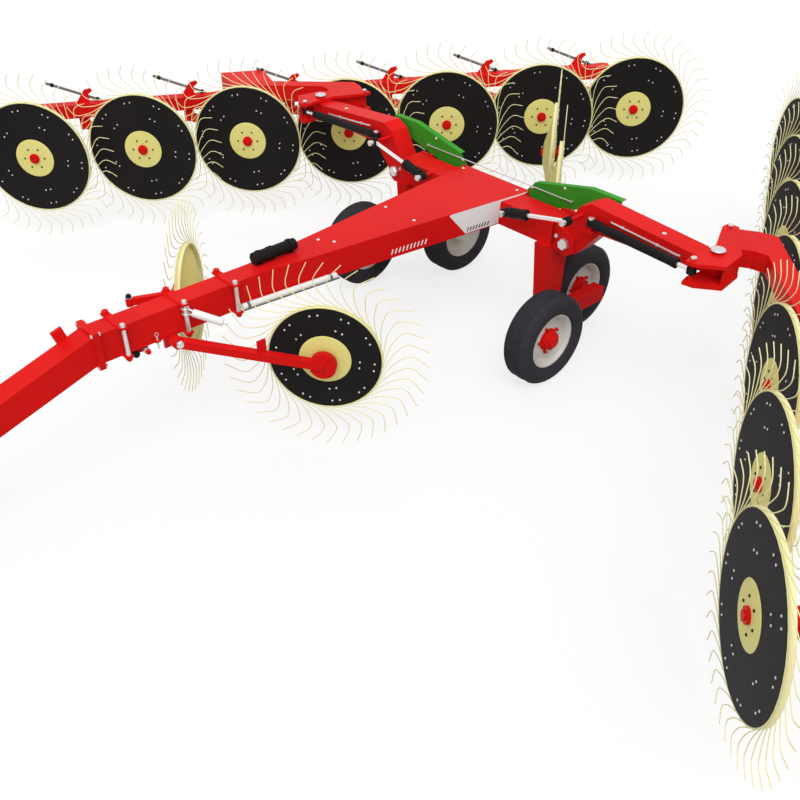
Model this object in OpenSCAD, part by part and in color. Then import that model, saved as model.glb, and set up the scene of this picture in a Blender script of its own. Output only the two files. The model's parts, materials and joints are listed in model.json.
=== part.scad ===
// Towed wheel hay rake, V type. X points forward, Y to the left, Z up; millimetres.
// The origin lies on the ground under the middle of the machine's outline.

/* [Rake wheels] */
// Distance between neighbouring wheels along a bank
wheel_pitch = 932; // [900:1:960]
// Angle of each bank from the line of travel
bank_angle = 29.4; // [28:0.1:31]
// Angle by which each wheel turns outward from its bank
wheel_toe = 15.5; // [15:0.1:17]
// Radius of the wind disc of a bank wheel
disc_r = 470; // [440:1:480]
// Radius at the tine tips of a bank wheel
tip_r = 720; // [700:1:725]
// Tines on one wheel
tine_count = 40; // [30:1:44]
// Thickness of a tine
tine_d = 7; // [5:0.5:9]
// Height of the tine tips above the ground
tip_clear = 12; // [8:1:40]
// Depth of the dished back of a wheel
dish_depth = 96; // [80:1:110]
// Radius of the plate round the hub
plate_r = 165; // [140:1:190]

/* [Kicker wheels] */
// Wind disc radius of a front kicker wheel
kicker_disc_r = 352; // [330:1:370]
// Tine tip radius of a front kicker wheel
kicker_tip_r = 655; // [640:1:665]
// Wind disc radius of a rear kicker wheel
rear_disc_r = 410; // [390:1:430]
// Tine tip radius of a rear kicker wheel
rear_tip_r = 690; // [680:1:700]

/* [Ground wheels] */
// Outside diameter of a tyre
tyre_d = 665; // [640:1:680]
// Width of a tyre
tyre_w = 216; // [200:1:220]
// Diameter of the rim
rim_d = 400; // [380:1:420]
// Distance of the front tyre from the middle of the machine
front_tyre_y = 1008; // [1000:1:1030]
// Distance of the rear tyre from the middle of the machine
rear_tyre_y = 650; // [630:1:655]

/* [Frame] */
// Width of the frame beam
beam_w = 160; // [140:2:180]
// Height of the frame beam
beam_h = 185; // [160:1:200]
// Height of the beam's upper face above the ground
beam_top = 1062; // [1040:1:1080]
// Wall of the box beams
wall = 8; // [6:1:10]
// Width of the tapered frame at its rear end
frame_rear_w = 670; // [640:1:700]
// Height of the hitch pin hole's middle
hitch_z = 470; // [440:1:520]
// Radius of the hitch pin hole
hitch_r = 16.5; // [14:0.5:20]

/* [Wings] */
// Height of a wing's fold pin
fold_z = 913; // [905:1:925]
// Distance of a fold pin from the middle of the machine
fold_y = 886; // [880:1:895]
// Distance of a bank's pivot pin from the middle of the machine
pivot_y = 1979; // [1970:1:1990]
// Radius of the fold and pivot pins
pin_r = 30; // [26:1:32]
// Radial play of a turning pin
play = 0.05; // [0.02:0.01:0.09]

/* [Hidden] */
$fn = 64;
bank_count = 7;
sides = ["left", "right"];
bank_ids = [for (s = sides) for (k = [1 : bank_count]) str(s, "_", k)];

red = "#d2201c";
cream = "#e6dc8c";
black = "#1e1b1a";
steel = "#b5b2aa";
green = "#4caf3a";

// Heights
wheel_z = tip_r + tip_clear;
kicker_z = kicker_tip_r + tip_clear;
rear_kicker_z = rear_tip_r + tip_clear;
beam_z = beam_top - beam_h / 2;
axle_z = tyre_d / 2;

// Stations along the machine, from its middle
knee_x = 2410;
flange_t = 20;
clamp_x = [2245, 1840, 1480];
taper_x = 1270;
frame_rear_x = -910;
hitch_x = 4200;
wing_x = -792;
wing_w = 160;
front_axle_x = -411;
rear_axle_x = -1160;
leg_x = -730;
leg_y = 735;
tandem_y = 830;
jack_x = 3560;
jack_y = 150;
// The bank's pivot in the bank's own frame: along it from the rear wheel, and across it
pivot_a = 3.3182716 * wheel_pitch;
pivot_b = -435.2356;
bank_x = wing_x - pivot_a * cos(bank_angle) + pivot_b * sin(bank_angle);
bank_y = pivot_y - pivot_a * sin(bank_angle) - pivot_b * cos(bank_angle);

// Rake wheel details
disc_t = 3;
plate_t = 4;
hub_r = 60;
spindle_r = 30;
ring_w = 16;
sheet_t = 3;
cap_r = 42;
cap_t = 26;
spindle_out = 190;
tine_lead = 60;
tine_trail = 25;

function polar(p, a, d) = [p[0] + d * cos(a), p[1] + d * sin(a)];
function turned(p, a) = [p[0] * cos(a) - p[1] * sin(a), p[0] * sin(a) + p[1] * cos(a)];
// Length of a leg that starts at radius r, leans by a from the radius and ends at radius e
function reach(r, a, e) = -r * cos(a) + sqrt(pow(r * cos(a), 2) + e * e - r * r);

// Outline of one tine: root, elbow and tip on its leading side, then back
function tine_outline(root, elbow, tip) =
    let (l1 = reach(root, tine_lead, elbow),
         bend = tine_lead - asin(l1 * sin(tine_lead) / elbow) + tine_trail,
         l2 = reach(elbow, tine_trail, tip),
         out = tine_lead - bend,
         h = tine_d / 2,
         m = h * tan(bend / 2),
         knee = polar([root, 0], tine_lead, l1))
    [polar([root, 0], tine_lead - 90, h),
     polar(polar(knee, tine_lead, -m), tine_lead - 90, h),
     polar(polar(knee, out, l2), out - 90, h),
     polar(polar(knee, out, l2), out + 90, h),
     polar(polar(knee, out, m * 0.4), out + 90, h),
     polar(polar(knee, tine_lead, m * 0.4), tine_lead + 90, h),
     polar([root, 0], tine_lead + 90, h)];

// Tined wheel with its dished back, hub and plate, axis on Z, wind disc side up
module tined_wheel(disc, tip) {
    root = disc + 6;
    step = 360 / tine_count;
    outline = tine_outline(root, root + 0.6 * (tip - root), tip);
    points = [for (i = [0 : tine_count - 1]) for (p = concat(outline,
        [polar([0, 0], step * 0.4, root), polar([0, 0], step * 0.75, root)])) turned(p, i * step)];
    difference() {
        union() {
            translate([0, 0, -tine_d]) linear_extrude(tine_d) difference() {
                polygon(points);
                circle(disc - ring_w);
            }
            rotate_extrude() polygon([
                [disc, -tine_d], [disc - ring_w, -tine_d + 1], [disc - ring_w - 12, -tine_d - sheet_t / 2],
                [hub_r - 4, -dish_depth + sheet_t], [hub_r - 4, -dish_depth - sheet_t],
                [hub_r + 24, -dish_depth - sheet_t], [disc, -tine_d - sheet_t]]);
            translate([0, 0, -dish_depth - sheet_t])
                cylinder(r = hub_r, h = dish_depth + sheet_t + disc_t + plate_t);
            translate([0, 0, disc_t]) cylinder(r = plate_r, h = plate_t);
        }
        translate([0, 0, -2 * dish_depth]) cylinder(r = spindle_r + play, h = 4 * dish_depth);
    }
}

// Wind disc, lying on the ring of the tined wheel
module wind_disc(disc, hole = hub_r + 0.3) {
    linear_extrude(disc_t) difference() {
        circle(disc);
        circle(hole);
    }
}
// Rear kicker wheel: tined wheel with its wind disc fixed on, vented by four holes
module rear_kicker() {
    tined_wheel(rear_disc_r, rear_tip_r);
    difference() {
        wind_disc(rear_disc_r, hub_r - 4);
        for (a = [0 : 90 : 270]) rotate(a) translate([0.75 * rear_disc_r, 0, -disc_t])
            cylinder(r = 9, h = 3 * disc_t);
    }
}

// Spindle and red cap of a wheel, axis on Z; the carrier holds its lower end
module spindle(below) {
    top = disc_t + plate_t + 1;
    rotate_extrude() polygon([[0, -below], [hub_r - 8, -below], [hub_r - 8, -dish_depth - sheet_t - 6],
        [spindle_r, -dish_depth - sheet_t - 6], [spindle_r, top], [cap_r, top], [cap_r, top + cap_t * 0.6],
        [cap_r * 0.6, top + cap_t * 0.6], [cap_r * 0.6, top + cap_t], [0, top + cap_t]]);
}

// Places on the machine
module on_side(side) {
    if (side == "left") children();
    else mirror([0, 1, 0]) children();
}
module on_bank() {
    translate([bank_x, bank_y, 0]) rotate([0, 0, bank_angle]) children();
}
// Axis of bank wheel k, wind disc side facing the middle of the machine
module at_bank_wheel(k) {
    on_bank() translate([(k - 1) * wheel_pitch, 0, wheel_z])
        rotate([0, 0, wheel_toe]) rotate([90, 0, 0]) children();
}

kicker_hub_y = 630;
kicker_yaw = 42.5;
kicker_back = 730;
kicker_root_x = [1950, 2160];
kicker_root_y = 145;
kicker_root_z = 868;
function kicker_root(side) = side == "left" ? kicker_root_x[0] : kicker_root_x[1];
module at_kicker(side) {
    translate([kicker_root(side) - kicker_back, kicker_hub_y, kicker_z])
        rotate([0, 0, kicker_yaw]) rotate([0, 90, 0]) children();
}
rear_kickers = [[-1665, 1], [-2335, -641]];
rear_kicker_yaw = 38.9;
module at_rear_kicker(i) {
    translate([rear_kickers[i][0], rear_kickers[i][1], rear_kicker_z])
        rotate([0, 0, rear_kicker_yaw]) rotate([-90, 0, 0]) children();
}

// Straight bar of width w and height h between two points
module bar(a, b, w, h) {
    d = b - a;
    yaw = atan2(d[1], d[0]);
    pitch = atan2(d[2], norm([d[0], d[1]]));
    translate(a) rotate([0, -pitch, yaw]) translate([0, -w / 2, -h / 2]) cube([norm(d), w, h]);
}

cross_x0 = -860;
cross_x1 = -650;
cross_z0 = 868;
cross_z1 = 1045;
cross_y = 790;
ear_t = 28;
ear_y = fold_y + 75;
fold_b = [436, 1034];
fold_e = [987, 1150];
fold_cyl_x = -560;
swing_b = [-670, 1100];
swing_e = [-598, 1940];
swing_z = 1135;
lug_r = 15;

// Straight beam and tapered box in plan, drawn in by inset
module frame_plan(inset) {
    polygon([[frame_rear_x + inset, -frame_rear_w / 2 + inset], [taper_x, -beam_w / 2 + inset],
        [knee_x - flange_t - inset, -beam_w / 2 + inset], [knee_x - flange_t - inset, beam_w / 2 - inset],
        [taper_x, beam_w / 2 - inset], [frame_rear_x + inset, frame_rear_w / 2 - inset]]);
}
// Folded frame box: closed above, open below between its lips
module frame_box() {
    lip = 40;
    translate([0, 0, beam_top - beam_h]) difference() {
        linear_extrude(beam_h) frame_plan(0);
        translate([0, 0, wall]) linear_extrude(beam_h - 2 * wall) frame_plan(wall);
        translate([0, 0, -wall]) linear_extrude(3 * wall) polygon([
            [cross_x1 + lip, -frame_rear_w / 2 + 2.2 * lip], [taper_x, -beam_w / 2 + lip],
            [taper_x, beam_w / 2 - lip], [cross_x1 + lip, frame_rear_w / 2 - 2.2 * lip]]);
    }
}
// Clamp of the straight beam: a plate above and below it, drawn together by an upright bolt on each side
clamp_l = 48;
clamp_t = 14;
clamp_pin_y = beam_w / 2 + 26;
clamp_pin_r = 13;
clamp_edge = 18;
module beam_clamp() {
    for (z = [beam_top - 4, beam_top - beam_h + 4 - clamp_t])
        translate([-clamp_l / 2, -clamp_pin_y - clamp_edge, z])
            cube([clamp_l, 2 * (clamp_pin_y + clamp_edge), clamp_t]);
    for (side = sides) on_side(side) translate([0, clamp_pin_y, beam_top - beam_h - 32])
        cylinder(r = clamp_pin_r, h = beam_h + 60);
}

// Leg, tandem beam and stub axles of the left side
tandem_w = 100;
tandem_h = 110;
axle_r = 25;
leg_t = 110;
leg_low_w = 150;
leg_top_w = 240;
module tandem_leg() {
    translate([leg_x, leg_y + leg_t / 2, 0]) rotate([90, 0, 0]) linear_extrude(leg_t)
        polygon([[-leg_low_w / 2, axle_z - 40], [leg_low_w / 2, axle_z - 40],
            [leg_top_w / 2, cross_z0 + 10], [-leg_top_w / 2, cross_z0 + 10]]);
    translate([rear_axle_x - 60, tandem_y - tandem_w / 2, axle_z - tandem_h / 2])
        cube([front_axle_x - rear_axle_x + 120, tandem_w, tandem_h]);
    translate([front_axle_x, tandem_y, axle_z]) rotate([-90, 0, 0])
        cylinder(r = axle_r, h = front_tyre_y + 40 - tandem_y);
    translate([rear_axle_x, tandem_y, axle_z]) rotate([90, 0, 0])
        cylinder(r = axle_r, h = tandem_y - rear_tyre_y + 40);
}

// Ears, fold pin and cylinder pin of the left side
module wing_root() {
    for (x = [wing_x - wing_w / 2 - 2 - ear_t, wing_x + wing_w / 2 + 2]) translate([x, 0, 0])
        rotate([90, 0, 90]) linear_extrude(ear_t) polygon([[cross_y - 120, cross_z0], [cross_y - 120, cross_z1],
            [cross_y, cross_z1], [ear_y, fold_z + 50], [ear_y, fold_z - 50], [ear_y - 60, fold_z - 90]]);
    translate([wing_x - wing_w / 2 - ear_t - 12, fold_y, fold_z]) rotate([0, 90, 0])
        cylinder(r = pin_r, h = wing_w + 2 * ear_t + 40);
    translate([cross_x1 - 20, fold_b[0], fold_b[1]]) rotate([0, 90, 0])
        cylinder(r = lug_r, h = fold_cyl_x - cross_x1 + 70);
}

// Carrier of the rear kickers on their wind disc side: bent arm from the cross beam, low rail, and a post
// with a hub at each wheel. Lengths are along the wheel planes and off them, from the rearmost wheel.
rear_off = 52;
rear_post_w = 70;
rear_post_t = 40;
rear_rail_z = 400;
rear_arm = [[cross_x0 + 20, 600, 914], [-1200, 560, 800]];
rear_gap = turned(rear_kickers[0] - rear_kickers[1], -rear_kicker_yaw);
module at_rear_foot(i) {
    translate([rear_kickers[i][0], rear_kickers[i][1], 0]) rotate([0, 0, rear_kicker_yaw]) children();
}
module rear_kicker_beam() {
    top = rear_kickers[0] + turned([0, rear_off], rear_kicker_yaw);
    near = rear_off - rear_post_t / 2 + 3;
    far = rear_off + rear_post_t / 2 - 3;
    bar(rear_arm[0], rear_arm[1], 70, 66);
    bar([top[0], top[1], rear_kicker_z - 20], rear_arm[1], 36, 72);
    translate([rear_arm[1][0], rear_arm[1][1], rear_arm[1][2] - 42]) cylinder(r = 40, h = 84);
    at_rear_foot(1) translate([0, 0, rear_rail_z - 34]) linear_extrude(68) polygon([
        [-25, near], [40, near], [290, rear_gap[1] + near], [rear_gap[0] + 25, rear_gap[1] + near],
        [rear_gap[0] + 25, rear_gap[1] + far], [270, rear_gap[1] + far], [-25, far]]);
    for (i = [0, 1]) {
        at_rear_foot(i) translate([-rear_post_w / 2, rear_off - rear_post_t / 2, rear_rail_z - 50])
            cube([rear_post_w, rear_post_t, rear_kicker_z - rear_rail_z + 110]);
        at_rear_kicker(i) rotate(180) {
            translate([0, 0, rear_off - rear_post_t / 2 - 6]) cylinder(r = 62, h = rear_post_t + 10);
            translate([0, 0, -dish_depth - sheet_t - 20])
                cylinder(r = spindle_r, h = dish_depth + sheet_t + 20 + rear_off);
        }
    }
}

// Bracket on the beam's right side that holds the hoses and the parked kicker
bracket_a = [1800, -70, 1046];
bracket_b = [2040, -205, 1030];
module side_bracket() {
    bar(bracket_a, bracket_b, 34, 44);
    translate(bracket_b - [0, 0, 27]) cylinder(r = 23, h = 54);
}

module kicker_lug(side) {
    translate([kicker_root(side), beam_w / 2 - 10, kicker_root_z]) rotate([-90, 0, 0])
        cylinder(r = 18, h = kicker_root_y + 50 - beam_w / 2);
    translate([kicker_root(side) - 45, beam_w / 2 - 20, kicker_root_z - 45]) cube([90, 28, 90]);
}

module main_frame() {
    color(red) {
        frame_box();
        translate([knee_x - flange_t, -beam_w / 2 - 25, beam_top - beam_h - 25])
            cube([flange_t, beam_w + 50, beam_h + 50]);
        for (x = clamp_x) translate([x, 0, 0]) beam_clamp();
        difference() {
            translate([cross_x0, -cross_y, cross_z0])
                cube([cross_x1 - cross_x0, 2 * cross_y, cross_z1 - cross_z0]);
            translate([cross_x0 + wall, -cross_y - 1, cross_z0 + wall])
                cube([cross_x1 - cross_x0 - 2 * wall, 2 * cross_y + 2, cross_z1 - cross_z0 - 2 * wall]);
        }
        for (side = sides) on_side(side) {
            tandem_leg();
            wing_root();
            kicker_lug(side);
        }
        rear_kicker_beam();
        side_bracket();
    }
}

// Sloping front beam with knee flange, hitch clevis and jack tube
clevis_gap = 70;
clevis_t = 25;
drawbar_h = beam_h - 12;
drawbar_drop = beam_z - hitch_z;
drawbar_run = hitch_x - 150 - knee_x;
drawbar_l = norm([drawbar_drop, drawbar_run]);
drawbar_pitch = atan2(drawbar_drop, drawbar_run);
post_x = 75;
jack_r = 32;
jack_tube_r = 40;
jack_tube_z = 320;
jack_tube_l = 560;
jack_arm_z = beam_z - (jack_x - knee_x) * drawbar_drop / drawbar_run - 60;
module drawbar() {
    color(red) {
        translate([knee_x, -beam_w / 2 - 25, beam_top - beam_h - 25])
            cube([flange_t, beam_w + 50, beam_h + 50]);
        difference() {
            translate([knee_x, 0, beam_z]) rotate([0, drawbar_pitch, 0])
                translate([0, -beam_w / 2, -drawbar_h / 2]) {
                difference() {
                    translate([-40, 0, 0]) cube([drawbar_l + 40, beam_w, drawbar_h]);
                    translate([60, wall, wall])
                        cube([drawbar_l - 80, beam_w - 2 * wall, drawbar_h - 2 * wall]);
                }
                translate([post_x, -8, drawbar_h - 60]) cube([70, 24, 138]);
            }
            translate([knee_x - 200, -beam_w, 0]) cube([200 + flange_t / 2, 2 * beam_w, 2 * beam_top]);
        }
        for (z = [clevis_gap / 2, -clevis_gap / 2 - clevis_t]) translate([0, 0, hitch_z + z])
            linear_extrude(clevis_t) difference() {
                union() {
                    translate([hitch_x - 190, -55]) square([190, 110]);
                    translate([hitch_x, 0]) circle(55);
                }
                translate([hitch_x, 0]) circle(hitch_r);
            }
        difference() {
            union() {
                translate([jack_x, jack_y, jack_tube_z]) cylinder(r = jack_tube_r, h = jack_tube_l);
                translate([jack_x - 40, beam_w / 2 - 20, jack_arm_z]) cube([80, jack_y - beam_w / 2 + 20, 120]);
            }
            translate([jack_x, jack_y, jack_tube_z - 30]) cylinder(r = jack_r + play, h = jack_tube_l);
        }
    }
}

module jack_leg() {
    color(steel) translate([jack_x, jack_y, 0]) {
        cylinder(r = jack_r, h = jack_tube_z + 230);
        cylinder(r = 105, h = 10);
    }
}

// Green shields behind the wing roots: an upright sheet with a flange along its top
guard_line = [[386, 1138], [880, 1242], [1150, 1240]];
sheet_g = 6;
guard_lip = 48;
module guards() {
    color(green) for (side = sides) on_side(side) rotate([90, 0, 90]) {
        translate([0, 0, frame_rear_x - sheet_g]) linear_extrude(sheet_g) polygon(concat(
            [[260, 930], [300, 1050]], guard_line, [[1150, 1130], [900, 1090], [560, 1000]]));
        translate([0, 0, frame_rear_x - guard_lip]) linear_extrude(guard_lip - sheet_g / 2) polygon(concat(
            guard_line, [for (i = [2 : -1 : 0]) guard_line[i] - [0, sheet_g]]));
    }
}

// Tapered wing arm with its fold boss and the boss of the bank pivot, left side
arm_z = [1085, 1185];
boss_r = 66;
module wing_arm(side) {
    color(red) on_side(side) difference() {
        union() {
            translate([wing_x - wing_w / 2, 0, 0]) rotate([90, 0, 90]) linear_extrude(wing_w) {
                polygon([[fold_y - 60, fold_z + 60], [960, 1200], [1055, 1246], [pivot_y - 110, arm_z[1]],
                    [pivot_y - 110, arm_z[0]], [1150, 1060], [960, 850], [fold_y, fold_z - 85]]);
                translate([fold_y, fold_z]) circle(85);
            }
            translate([wing_x, 0, arm_z[0]]) linear_extrude(arm_z[1] - arm_z[0]) {
                translate([0, pivot_y]) circle(boss_r);
                polygon([[-80, pivot_y - 130], [-50, pivot_y - 40], [50, pivot_y - 40], [80, pivot_y - 130]]);
            }
            translate([wing_x + wing_w / 2 - 10, fold_e[0], fold_e[1]]) rotate([0, 90, 0])
                cylinder(r = 12, h = fold_cyl_x - wing_x - wing_w / 2 + 60);
            translate([wing_x + wing_w / 2 - 10, swing_b[1] - 40, swing_z - 56])
                cube([swing_b[0] - wing_x - wing_w / 2 + 40, 80, 18]);
            translate([swing_b[0], swing_b[1], swing_z - 45]) cylinder(r = lug_r, h = 80);
        }
        translate([wing_x - wing_w, fold_y, fold_z]) rotate([0, 90, 0])
            cylinder(r = pin_r + play, h = 2 * wing_w);
        translate([wing_x, pivot_y, 1000]) cylinder(r = pin_r + play, h = 300);
    }
}

// Bank: forked head on the pivot, neck over the wheels, beam and trailing wheel arms, left side
bank_b = 400;
bank_z = 992;
bank_s = 115;
head_t = 24;
head_gap = 5;
head_b = pivot_b + 38;
arm_ahead = 490;
// Cranked neck between wheels 4 and 5: clear of the wheel planes on both sides, and its stations in pitches
neck_front_clear = 46;
neck_rear_clear = 79;
neck_z = [1092, 1210];
neck_s = [2.91, 2.95, 3.22, 3.26, 3.70, 3.74, 4.08, 4.17];
// Across the bank at station s: distance off the plane of wheel k
function off_plane(s, k, d) = (s - k + 1) * wheel_pitch * tan(wheel_toe) + d / cos(wheel_toe);
function neck_rear(i) = [neck_s[i] * wheel_pitch, off_plane(neck_s[i], 4, -neck_rear_clear)];
function neck_front(i) = [neck_s[i] * wheel_pitch, off_plane(neck_s[i], 5, neck_front_clear)];
module neck() {
    s = neck_s * wheel_pitch;
    near = bank_b - bank_s / 2;
    out = bank_b + bank_s / 2 - 6;
    translate([0, 0, neck_z[0]]) linear_extrude(neck_z[1] - neck_z[0]) polygon([
        [s[0], head_b], [s[0], head_b + 190], neck_rear(1), neck_rear(4), [s[5], near], [s[5], out],
        [s[7], out], [s[7], near], neck_front(6), neck_front(3), [s[2], head_b + 170], [s[2], head_b]]);
    translate([0, 0, arm_z[0] - head_gap - head_t + 6]) linear_extrude(neck_z[1] - arm_z[0])
        polygon([[s[1], head_b], [s[1], head_b + 70], [s[2] - 20, head_b + 70], [s[2] - 20, head_b]]);
    translate([s[5] + 20, near + 6, bank_z])
        cube([s[7] - s[5] - 40, bank_s - 20, neck_z[1] - bank_z - 20]);
}
module head_plate() {
    linear_extrude(head_t) polygon([[swing_e[0] - 25, swing_e[1] - 40], [swing_e[0] + 45, swing_e[1] - 25],
        [swing_e[0] + 35, swing_e[1] + 50], [wing_x + 130, pivot_y + 150], [wing_x - 80, pivot_y + 120],
        [wing_x - 320, pivot_y - 80], [wing_x - 400, pivot_y - 110], [wing_x - 395, pivot_y - 190],
        [wing_x - 330, pivot_y - 190], [wing_x - 75, pivot_y - 65], [wing_x + 75, pivot_y - 65]]);
}
// Wall that closes the head's outer front side between its plates
module head_web() {
    translate([wing_x, pivot_y, arm_z[0] - head_gap - head_t + 4])
        linear_extrude(arm_z[1] - arm_z[0] + 2 * head_gap + 2 * head_t - 10)
        polygon([[126, 147], [-79, 117], [-77, 97], [124, 126]]);
}
rod_w = 16;
module wheel_arm(k) {
    n = [-sin(wheel_toe), cos(wheel_toe)];
    a = (k - 1) * wheel_pitch;
    foot = [a + n[0] * spindle_out, n[1] * spindle_out, wheel_z];
    on_bank() {
        translate([a + arm_ahead - 45, bank_b - 32, bank_z - bank_s / 2 - 110]) cube([90, 64, 120]);
        bar([a + arm_ahead, bank_b, bank_z - bank_s / 2 - 75], foot, 56, 64);
        translate([a + arm_ahead, bank_b + 30, bank_z + bank_s / 2]) rotate([90, 0, 0]) linear_extrude(20)
            polygon([[-70, -8], [50, -8], [-40, 105], [-100, 118], [-112, 96], [-75, 70]]);
        bar([a + 0.26 * wheel_pitch, bank_b + 46, bank_z + 25],
            [a + 0.81 * wheel_pitch, bank_b + 46, bank_z + 232], rod_w, rod_w);
    }
    at_bank_wheel(k) spindle(spindle_out + 26);
}
// Box beam along X with end plates and a drain hole below each end
module bank_beam(l) {
    difference() {
        translate([0, -bank_s / 2, -bank_s / 2]) cube([l, bank_s, bank_s]);
        translate([wall, -bank_s / 2 + wall, -bank_s / 2 + wall])
            cube([l - 2 * wall, bank_s - 2 * wall, bank_s - 2 * wall]);
        for (x = [60, l - 60]) translate([x, 0, -bank_s]) cylinder(r = 9, h = bank_s);
    }
}
module bank(side) {
    color(red) on_side(side) {
        for (z = [arm_z[0] - head_gap - head_t, arm_z[1] + head_gap]) translate([0, 0, z]) head_plate();
        translate([wing_x, pivot_y, arm_z[0] - head_gap - head_t - 10])
            cylinder(r = pin_r, h = arm_z[1] - arm_z[0] + 2 * head_gap + 2 * head_t + 24);
        for (e = [swing_e, [wing_x - 360, pivot_y - 150]])
            translate([e[0], e[1], arm_z[0] - head_gap - head_t - 8])
                cylinder(r = 12, h = arm_z[1] - arm_z[0] + 2 * head_gap + 2 * head_t + 16);
        head_web();
        on_bank() {
            translate([0.15 * wheel_pitch, bank_b, bank_z]) bank_beam(6.47 * wheel_pitch);
            neck();
        }
        for (k = [1 : bank_count]) wheel_arm(k);
    }
}

// Trailing arm of a front kicker wheel, left side
module kicker_arm(side) {
    color(red) on_side(side) difference() {
        union() {
            translate([kicker_root(side), kicker_root_y - 30, kicker_root_z]) rotate([-90, 0, 0])
                cylinder(r = 38, h = 60);
            hub = [kicker_root(side) - kicker_back + 75 * cos(kicker_yaw),
                kicker_hub_y + 75 * sin(kicker_yaw), kicker_z];
            root = [kicker_root(side), kicker_root_y, kicker_root_z];
            bar(root, hub, 60, 50);
            bar(root + 0.58 * (hub - root), root + 0.58 * (hub - root) + [0, 0, 110], 14, 60);
            at_kicker(side) {
                translate([0, 0, 45]) cylinder(r = 85, h = 50);
                translate([0, 0, -dish_depth - sheet_t - 20]) cylinder(r = spindle_r, h = dish_depth + 90);
            }
        }
        translate([kicker_root(side), 0, kicker_root_z]) rotate([-90, 0, 0]) cylinder(r = 18 + play, h = 300);
    }
}

// Hydraulic cylinder along Y from its eye, mouth at barrel_l, eye bore on Z
module barrel(barrel_l, r, eye_r, rod_r) {
    difference() {
        union() {
            translate([0, 0, -r * 0.7]) cylinder(r = 30, h = r * 1.4);
            translate([0, 20, 0]) rotate([-90, 0, 0]) cylinder(r = r, h = barrel_l - 20);
        }
        translate([0, 0, -2 * r]) cylinder(r = eye_r + play, h = 4 * r);
        translate([0, 60, 0]) rotate([-90, 0, 0]) cylinder(r = rod_r + play, h = barrel_l);
    }
}
module rod(total_l, start, rod_r, eye_r) {
    difference() {
        union() {
            translate([0, start, 0]) rotate([-90, 0, 0]) cylinder(r = rod_r, h = total_l - start);
            translate([0, total_l, -20]) cylinder(r = 30, h = 40);
        }
        translate([0, total_l, -60]) cylinder(r = eye_r, h = 120);
    }
}
fold_l = norm(fold_e - fold_b);
fold_tilt = atan2(fold_e[1] - fold_b[1], fold_e[0] - fold_b[0]);
module at_fold(side) {
    on_side(side) translate([fold_cyl_x, fold_b[0], fold_b[1]]) rotate([fold_tilt, 0, 0]) rotate([0, 90, 0])
        children();
}
swing_l = norm(swing_e - swing_b);
swing_tilt = atan2(swing_e[0] - swing_b[0], swing_e[1] - swing_b[1]);
module at_swing(side) {
    on_side(side) translate([swing_b[0], swing_b[1], swing_z + 8]) rotate([0, 0, -swing_tilt]) children();
}
open_eye_r = 20;
module fold_barrel(side) { color(black) at_fold(side) barrel(250, 36, lug_r, 14); }
module fold_rod(side) { color(steel) at_fold(side) rod(fold_l, 190, 14, open_eye_r); }
module swing_barrel(side) { color(black) at_swing(side) barrel(735, 30, lug_r, 14); }
module swing_rod(side) { color(steel) at_swing(side) rod(swing_l, 300, 14, open_eye_r); }

// Tyre and rim, axis on Y
module tyre() {
    r = tyre_d / 2;
    w = tyre_w / 2;
    b = rim_d / 2;
    color(black) rotate([90, 0, 0]) rotate_extrude() polygon([[b, -w + 28], [b + 12, -w + 12], [b + 50, -w],
        [r - 62, -w + 2], [r - 28, -w + 12], [r - 8, -w + 34], [r, -w + 62], [r, w - 62], [r - 8, w - 34],
        [r - 28, w - 12], [r - 62, w - 2], [b + 50, w], [b + 12, w - 12], [b, w - 28]]);
}
// Rim with its dished web towards +Y and a hub
module rim() {
    b = rim_d / 2 - 0.3;
    w = tyre_w / 2 - 28;
    color(steel) rotate([-90, 0, 0]) difference() {
        union() {
            rotate_extrude() polygon([[b, -w], [b, w], [b - 9, w], [b - 26, w - 24], [b - 40, w - 66],
                [95, w - 44], [62, w - 44], [62, w - 54], [92, w - 54], [b - 46, w - 78],
                [b - 20, w - 84], [b - 9, -w]]);
            translate([0, 0, w - 130]) cylinder(r = 64, h = 130);
        }
        translate([0, 0, -300]) cylinder(r = axle_r + play, h = 600);
    }
}
module at_tyre(side, place) {
    on_side(side) translate([place == "front" ? front_axle_x : rear_axle_x,
        place == "front" ? front_tyre_y : rear_tyre_y, axle_z]) children();
}

main_frame();
drawbar();
jack_leg();
guards();
for (s = sides) {
    wing_arm(s);
    bank(s);
    kicker_arm(s);
    fold_barrel(s);
    fold_rod(s);
    swing_barrel(s);
    swing_rod(s);
    for (p = ["front", "rear"]) {
        at_tyre(s, p) tyre();
        at_tyre(s, p) rim();
    }
    for (k = [1 : bank_count]) {
        color(cream) on_side(s) at_bank_wheel(k) mirror([1, 0, 0]) tined_wheel(disc_r, tip_r);
        color(black) on_side(s) at_bank_wheel(k) wind_disc(disc_r);
    }
    color(cream) on_side(s) at_kicker(s) tined_wheel(kicker_disc_r, kicker_tip_r);
    color(black) on_side(s) at_kicker(s) wind_disc(kicker_disc_r);
}
color(cream) at_rear_kicker(0) rear_kicker();  // rear_kicker_1
color(cream) at_rear_kicker(1) rear_kicker();  // rear_kicker_2
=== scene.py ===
import json
import math

import bpy
from mathutils import Matrix, Vector


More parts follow.
